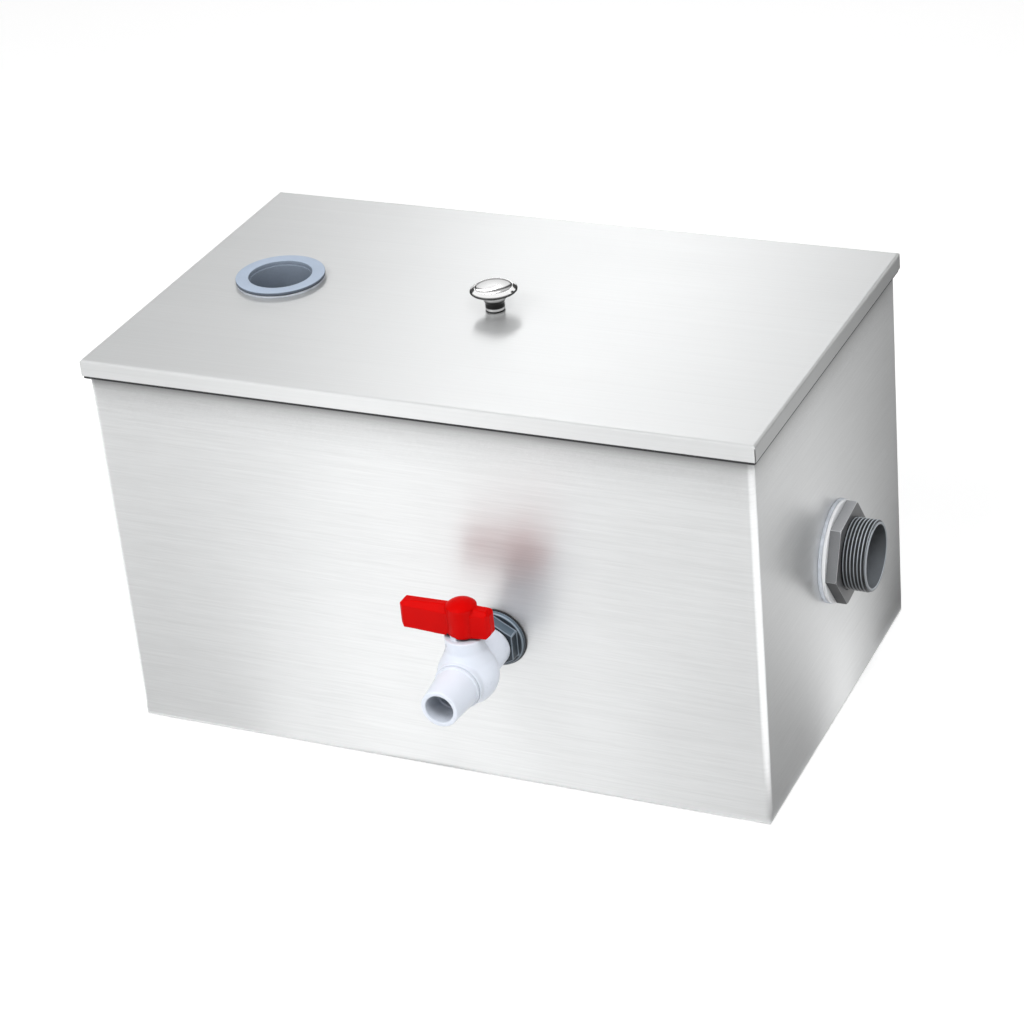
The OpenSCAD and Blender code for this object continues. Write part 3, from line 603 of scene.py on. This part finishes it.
def pipe_connector(node, name, place, axis, length, flange_radius, finish=None):
    """Flanged tube with a true helical thread outside and two pipe sockets inside."""

    def radius_at(r, h, angle):
        if abs(r - THREAD_CREST) > OUTLINE_TOLERANCE:
            return r
        fade = min((h - FLANGE) / THREAD_FADE, (length - h) / THREAD_FADE, 1.0)
        height = thread_shape(h / THREAD_PITCH - angle / (2 * math.pi)) * max(fade, 0.0)
        return THREAD_CREST - THREAD_DEPTH * (1.0 - height)

    # Painted light: dark thread roots as painted shade, light crests and the outer face of the rim as a painted
    # highlight.
    def painted_light_at(reach, h):
        if h > length - RIM_DEPTH:
            return 1.0 if reach > SOCKET_RADIUS + OUTLINE_TOLERANCE else PLAIN_TONE
        if reach < THREAD_ROOT - OUTLINE_TOLERANCE or reach > THREAD_CREST + OUTLINE_TOLERANCE:
            return PLAIN_TONE
        return clamp((reach - THREAD_ROOT) / THREAD_DEPTH) ** THREAD_TONE_POWER

    rows = int((length - FLANGE) / THREAD_PITCH * THREAD_ROWS)
    thread = [Vector((THREAD_CREST, FLANGE + (length - FLANGE) * i / rows)) for i in range(1, rows)]
    rib_foot = length - SOCKET_DEPTH - RIB
    inside = [
        (THREAD_ROOT, length), (SOCKET_RADIUS, length), (SOCKET_RADIUS, rib_foot + RIB),
        (RIB_RADIUS, rib_foot + RIB), (RIB_RADIUS, rib_foot), (SOCKET_RADIUS, rib_foot),
        (SOCKET_RADIUS, MOUTH_DEPTH), (MOUTH_RADIUS, MOUTH_DEPTH), (MOUTH_RADIUS, 0.0),
        (flange_radius, 0.0), (flange_radius, FLANGE), (THREAD_ROOT, FLANGE),
    ]
    outline = rounded(inside, CONNECTOR_ROUND, steps=4) + thread
    stand_for(turned(name, outline, place, axis, THREAD_STEPS, radius_at, painted_light_at), node, finish)


def make_connectors():
    low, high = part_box("inlet_connector")
    middle = (low + high) / 2
    top = Vector((middle.x, middle.y, high.z))
    pipe_connector("inlet_connector", "inlet_tube", top, (0, 0, -1), high.z - low.z, (high.x - low.x) / 2)
    low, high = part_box("outlet_connector")
    middle = (low + high) / 2
    inner = Vector((low.x, middle.y, middle.z))
    pipe_connector(
        "outlet_connector", "outlet_tube", inner, (1, 0, 0), high.x - low.x, (high.z - low.z) / 2, "thread_pvc",
    )


# Spout of the valve, counted outwards from the end of its plug
PORT_RADIUS = 9.0 * MM
PLUG = 5.0 * MM
PLUG_RADIUS = 14.4 * MM
SPOUT_RING = 3.0 * MM
SPOUT_RADIUS = 13.5 * MM
SPOUT_TAPER = 2.0 * MM
SPOUT_ROUND = 0.9 * MM


def make_spout():
    low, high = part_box("valve_spout")
    middle = (low + high) / 2
    length = high.y - low.y
    bore = mounts["drain_spout"]["dims"]["r_mm"] * MM
    socket = length - mounts["drain_spout"]["dims"]["length_mm"] * MM
    ring_radius = (high.x - low.x) / 2
    outline = [
        (PORT_RADIUS, 0.0), (PLUG_RADIUS, 0.0), (PLUG_RADIUS, PLUG), (ring_radius, PLUG),
        (ring_radius, PLUG + SPOUT_RING), (SPOUT_RADIUS + SPOUT_TAPER, PLUG + SPOUT_RING),
        (SPOUT_RADIUS, length), (bore, length), (bore, socket), (PORT_RADIUS, socket),
    ]
    piece = turned("spout", rounded(outline, SPOUT_ROUND), (middle.x, high.y, middle.z), (0, -1, 0))
    stand_for(piece, "valve_spout")


# Knob, counted upwards from the lid
KNOB_FOOT = 7.1 * MM
KNOB_FOOT_HEIGHT = 1.4 * MM
KNOB_WAIST = 7.0 * MM
KNOB_WAIST_DROP = 3.0 * MM
KNOB_NECK = 8.5 * MM
KNOB_FLARE = 1.6
KNOB_LIP = 0.8 * MM
KNOB_DISH = 12.9 * MM
KNOB_DISH_DEPTH = 2.4 * MM
KNOB_DISH_LIP = 0.6 * MM
KNOB_RIM_DROP = 3.0 * MM
KNOB_ROUND = 0.35 * MM
KNOB_STEPS = 24


def make_knob():
    low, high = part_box("knob")
    middle = (low + high) / 2
    height = high.z - low.z
    radius = (high.x - low.x) / 2
    rim = height - KNOB_RIM_DROP
    neck = height / 2
    under_radius = radius - KNOB_LIP - KNOB_NECK
    under_height = rim - KNOB_LIP - neck
    shares = [i / KNOB_STEPS for i in range(KNOB_STEPS + 1)]
    foot = [
        (0.0, 0.0), (KNOB_FOOT, 0.0), (KNOB_FOOT, KNOB_FOOT_HEIGHT), (KNOB_WAIST, neck - KNOB_WAIST_DROP),
    ]
    under = [(KNOB_NECK + under_radius * t ** KNOB_FLARE, neck + under_height * math.sqrt(t)) for t in shares]
    edge = [(radius, rim), (radius - KNOB_LIP / 2, rim + KNOB_LIP), (KNOB_DISH + KNOB_LIP, height)]
    dish = [(KNOB_DISH * t, height - KNOB_DISH_LIP - KNOB_DISH_DEPTH * (1 - t * t)) for t in reversed(shares)]
    outline = rounded(foot + under + edge + dish, KNOB_ROUND, steps=3)
    stand_for(turned("knob_head", outline, (middle.x, middle.y, low.z), (0, 0, 1)), "knob")


# Edges of the pieces that stay CAD nodes
NUT_EDGE = 0.6 * MM
DRAIN_EDGE = 0.8 * MM
WASHER_EDGE = 0.4 * MM


def soften_fittings():
    # Nuts and the drain connector take a lighter colour on their rounded edges, a painted highlight.
    for node in ("outlet_nut", "inlet_nut"):
        soften_edges(node, NUT_EDGE, edge_highlight="grey_edge_highlight")
    for node in ("drain_nut", "drain_connector"):
        soften_edges(node, DRAIN_EDGE, edge_highlight="slate_edge_highlight")
    for node in ("outlet_washer", "outlet_gasket", "drain_gasket", "inlet_gasket"):
        soften_edges(node, WASHER_EDGE)


# Stage: a white floor, a white world, three lamps, and cards that only show in the metal
FLOOR_SIZE = 8.0
FLOOR_COLOUR = 0.86
FLOOR_ROUGHNESS, FLOOR_GLOSS = 0.9, 0.1
FLOOR_GLOW = 0.42
WORLD_LIGHT = 0.32
BAND_LOW, BAND_HIGH, BAND_FADE = 0.03, 0.45, 0.06
BAND_LEVEL = 0.6
FLAG_LEVEL = 0.06
FLAG_TURNS = [(0.45, BAND_LEVEL), (0.6, FLAG_LEVEL), (0.93, FLAG_LEVEL), (0.97, BAND_LEVEL)]


def seen_directly(tree, low, high):
    """A value that is high for camera, glossy and transmission rays, and low for the rest."""
    path = add(tree, "ShaderNodeLightPath").outputs
    seen = calculate(tree, "MAXIMUM", path["Is Camera Ray"], path["Is Glossy Ray"])
    seen = calculate(tree, "MAXIMUM", seen, path["Is Transmission Ray"])
    return remap(tree, seen, low, high, 0.0, 1.0)


def make_floor():
    bm = bmesh.new()
    bmesh.ops.create_grid(bm, x_segments=1, y_segments=1, size=FLOOR_SIZE)
    floor = finish_mesh("floor", bm)
    mat, tree, bsdf = new_material("floor_paper")
    bsdf.inputs["Base Color"].default_value = (FLOOR_COLOUR, FLOOR_COLOUR, FLOOR_COLOUR, 1.0)
    bsdf.inputs["Roughness"].default_value = FLOOR_ROUGHNESS
    bsdf.inputs["Specular IOR Level"].default_value = FLOOR_GLOSS
    bsdf.inputs["Emission Color"].default_value = (1, 1, 1, 1)
    tree.links.new(seen_directly(tree, 0.0, FLOOR_GLOW), bsdf.inputs["Emission Strength"])
    floor.data.materials.append(mat)


def from_white(tree, share, colour):
    """White that gives way to a colour as share rises."""
    node = add(tree, "ShaderNodeMix", data_type="RGBA")
    node.inputs[6].default_value = (1, 1, 1, 1)
    tree.links.new(share, node.inputs[0])
    tree.links.new(colour, node.inputs[7])
    return node.outputs[2]


def make_world():
    """White all round, with a grey band over the horizon and two dark flags in it, which only metal picks up."""
    world = bpy.data.worlds.new("studio")
    world.use_nodes = True
    scene.world = world
    tree = world.node_tree
    background = tree.nodes["Background"]
    direction = add(tree, "ShaderNodeTexCoord").outputs["Generated"]
    heading = (-math.sin(CAMERA_AZIMUTH), math.cos(CAMERA_AZIMUTH), 0.0)
    flags = grey_ramp(tree, calculate_vector(tree, "DOT_PRODUCT", direction, heading), FLAG_TURNS)
    low = grey_ramp(tree, split(tree, direction)["Z"], [
        (0.0, 0.0), (BAND_LOW, 1.0), (BAND_HIGH - BAND_FADE, 1.0), (BAND_HIGH, 0.0),
    ])
    glossy = add(tree, "ShaderNodeLightPath").outputs["Is Glossy Ray"]
    shown = from_white(tree, glossy, from_white(tree, low, flags))
    tree.links.new(shown, background.inputs["Color"])
    tree.links.new(seen_directly(tree, WORLD_LIGHT, 1.0), background.inputs["Strength"])


def make_light(name, place, target, size, power, lean=0.0, in_metal=False):
    """A lamp that metal mirrors only with in_metal, so that it blots out no sheet from another side."""
    data = bpy.data.lights.new(name, "AREA")
    data.shape = "RECTANGLE"
    data.size, data.size_y = size
    data.energy = power
    lamp = bpy.data.objects.new(name, data)
    scene.collection.objects.link(lamp)
    lamp.location = place
    facing = (Vector(target) - Vector(place)).to_track_quat("-Z", "Y")
    lamp.rotation_euler = (facing @ Quaternion((0, 0, 1), math.radians(lean))).to_euler()
    lamp.visible_camera = False
    lamp.visible_glossy = in_metal


def make_lights():
    make_light("key", place=(-0.9, -1.7, 2.0), target=(0.0, -0.1, 0.2), size=(2.6, 0.8), power=36.0)
    make_light(
        "back", place=(-1.06, 2.5, 1.6), target=(0.0, 0.0, 0.3), size=(0.32, 1.8), power=6.5,
        lean=-38.0, in_metal=True,
    )
    make_light("side", place=(1.0, -1.0, 2.2), target=(0.25, 0.0, 0.15), size=(0.7, 0.7), power=27.0)


# Cards: their shape, then their glow along the foot of a wall (stripes) and outwards from it (fall)
CARD_LIFT = 2.0 * MM
CARD_REACH = 1.4
CARD_FLAT = 0.45
CARD_CURVE = 0.25
CARD_HEIGHT = 1.6
CARD_MARGIN = 0.03
CARD_COLUMNS, CARD_RINGS = 48, 24
FAN_SPOKES = 24
FAN_START = 0.01
END_BEFORE, END_BEYOND = 0.10, 0.40
END_LEAN = Matrix.Rotation(math.radians(-6.0), 3, "Z")
FRONT_STRIPES = [
    (0.0, 0.8), (0.18, 0.95), (0.31, 1.5), (0.45, 1.8), (0.69, 1.5), (0.86, 1.15), (1.0, 0.95),
]
FRONT_FALL = [(0.0, 1.0), (1.0, 1.0)]
END_STRIPES = [
    (0.0, 0.25), (0.125, 0.3), (0.22, 0.55), (0.33, 1.9), (0.40, 1.1), (0.45, 0.25), (0.5, 0.0), (1.0, 0.0),
]
END_FALL = [(0.0, 0.75), (0.1, 0.95), (0.32, 1.3), (1.0, 1.35)]
CORNER_GLOW = 2.2
LEFT_GLOW = 1.9


def finish_card(name, bm):
    """A card that shows only in reflections, as bright as its vertices' glow says."""
    card = finish_mesh(name, bm)
    mat, tree, bsdf = new_material(name)
    bsdf.inputs["Base Color"].default_value = (0, 0, 0, 1)
    bsdf.inputs["Specular IOR Level"].default_value = 0.0
    bsdf.inputs["Emission Color"].default_value = (1, 1, 1, 1)
    attribute = add(tree, "ShaderNodeAttribute", attribute_name="glow")
    tree.links.new(attribute.outputs["Fac"], bsdf.inputs["Emission Strength"])
    card.data.materials.append(mat)
    card.visible_camera = False
    card.visible_diffuse = False
    card.visible_shadow = False
    card.visible_transmission = False


def card_mesh(rows):
    """Grid of quads through rows of (place, glow) points."""
    bm = bmesh.new()
    layer = bm.verts.layers.float.new("glow")
    grid = []
    for row in rows:
        line = []
        for place, glow in row:
            vert = bm.verts.new(place)
            vert[layer] = glow
            line.append(vert)
        grid.append(line)
    for a, b in zip(grid, grid[1:]):
        for i in range(len(a) - 1):
            bm.faces.new((a[i], b[i], b[i + 1], a[i + 1]))
    return bm


def sweep(out, share):
    """Place on a sweep of paper that lies flat at first and then curves upright."""
    rise = max(share - CARD_FLAT, 0.0) / (1.0 - CARD_FLAT)
    along = CARD_FLAT + CARD_CURVE * math.sin(rise * math.pi / 2) if rise else share
    return out * along + Vector((0, 0, CARD_HEIGHT * rise ** 2))


def stripe_card(name, start, end, flow, stripes, fall):
    """A card from the foot of a wall, out and up. stripes run along the wall, fall runs outwards from it."""
    steps = [j / CARD_RINGS for j in range(CARD_RINGS + 1)]
    rows = []
    for i in range(CARD_COLUMNS + 1):
        t = i / CARD_COLUMNS
        near = Vector(start).lerp(Vector(end), t)
        out = Vector(flow(near)).normalized() * CARD_REACH
        rows.append([(near + sweep(out, s), blend_stops(stripes, t) * blend_stops(fall, s)) for s in steps])
    finish_card(name, card_mesh(rows))


def fan_card(name, corner, first, last, glow):
    """A card on the floor that fans out from a corner of the tank, between two headings in degrees."""
    rows = []
    for i in range(FAN_SPOKES + 1):
        heading = math.radians(first + (last - first) * i / FAN_SPOKES)
        out = Vector((math.cos(heading), math.sin(heading), 0.0)) * CARD_REACH
        rows.append([(corner + out * s, glow) for s in (FAN_START, 1.0)])
    finish_card(name, card_mesh(rows))


def make_cards():
    low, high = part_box("tank")
    front = low.y - CARD_LIFT
    side = high.x + CARD_LIFT
    stripe_card(
        "front_card", (low.x - CARD_MARGIN, front, CARD_LIFT), (high.x + CARD_MARGIN, front, CARD_LIFT),
        lambda p: (p.x - CAMERA_PLACE.x, CAMERA_PLACE.y - p.y, 0.0), FRONT_STRIPES, FRONT_FALL,
    )
    stripe_card(
        "end_card", (side, low.y - END_BEFORE, CARD_LIFT), (side, high.y + END_BEYOND, CARD_LIFT),
        lambda p: END_LEAN @ Vector((CAMERA_PLACE.x - p.x, p.y - CAMERA_PLACE.y, 0.0)), END_STRIPES, END_FALL,
    )
    fan_card("corner_card", Vector((high.x, low.y, CARD_LIFT)), first=-88.0, last=38.0, glow=CORNER_GLOW)
    fan_card("left_card", Vector((low.x, low.y, CARD_LIFT)), first=208.0, last=122.0, glow=LEFT_GLOW)


make_camera()
dress_nodes()
make_connectors()
make_spout()
make_knob()
moulded_copy("valve_body", "valve_housing", voxel=0.45 * MM, passes=8)
moulded_copy("valve_handle", "valve_lever", voxel=0.40 * MM, passes=5)
soften_fittings()
make_floor()
make_world()
make_cards()
make_lights()

scene.view_settings.view_transform = "Standard"
